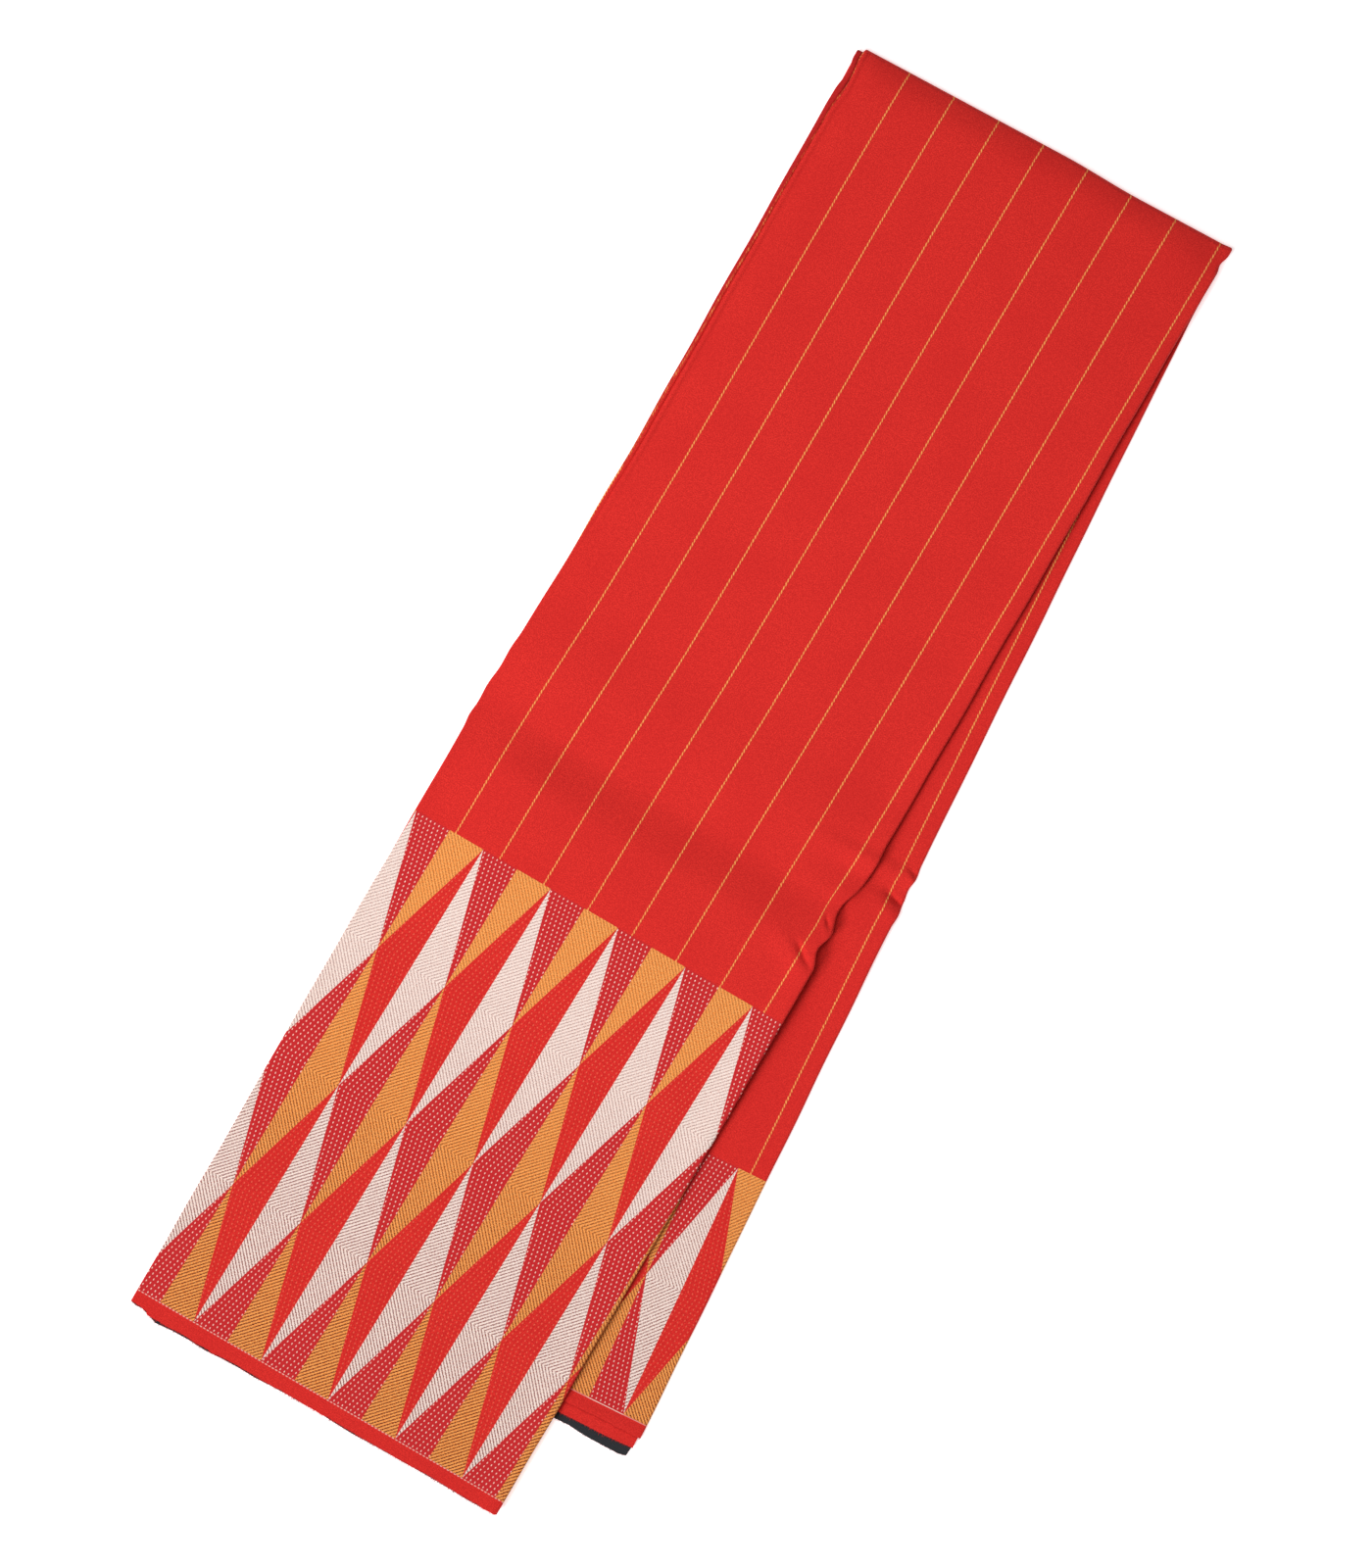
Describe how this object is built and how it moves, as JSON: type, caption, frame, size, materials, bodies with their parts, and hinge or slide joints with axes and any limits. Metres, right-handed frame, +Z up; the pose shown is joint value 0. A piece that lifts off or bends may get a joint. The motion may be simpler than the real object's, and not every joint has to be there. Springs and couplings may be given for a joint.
{
  "type": "folded woven shawl",
  "caption": "Long woven cloth with striped field and diamond-patterned ends, folded lengthwise and doubled across, lying flat in two slightly fanned legs.",
  "frame": {"origin": "centre of the folded cloth's footprint, on the surface that it lies on", "axes": "+X across the cloth along the cross fold, +Y towards the cross fold, +Z up"},
  "size_m": [0.3804, 1.0776, 0.0118],
  "materials": {
    "red_field": "matt twill weave, bright red with thin orange stripes, black on the reverse",
    "diamond_band": "matt patterned weave of split diamonds in red, cream, crimson and orange",
    "heading_weave": "plain weave with a frayed cut edge, black on the reverse"
  },
  "bodies": {
    "lower_leg": {"lower_inner_field": "red_field", "lower_inner_band": "diamond_band", "lower_inner_heading": "heading_weave", "lower_middle_field": "red_field", "lower_middle_band": "diamond_band", "lower_middle_heading": "heading_weave", "lower_outer_field": "red_field", "lower_outer_band": "diamond_band", "lower_outer_heading": "heading_weave", "lower_left_fold": "red_field", "lower_right_fold": "red_field", "cross_fold_outer": "red_field", "cross_fold_middle": "red_field", "cross_fold_inner": "red_field"},
    "upper_leg": {"upper_inner_field": "red_field", "upper_inner_band": "diamond_band", "upper_inner_heading": "heading_weave", "upper_middle_field": "red_field", "upper_middle_band": "diamond_band", "upper_middle_heading": "heading_weave", "upper_outer_field": "red_field", "upper_outer_band": "diamond_band", "upper_outer_heading": "heading_weave", "upper_left_fold": "red_field", "upper_right_fold": "red_field"}
  },
  "joints": [
    {"name": "cross_fold", "type": "hinge", "parent": "lower_leg", "child": "upper_leg", "pos_m": [0.00152, 0.5354, 0.0034], "axis": [-1, 0, 0], "range_deg": [0, 178.5], "deforming": ["cross_fold_outer", "cross_fold_middle", "cross_fold_inner"]}
  ]
}
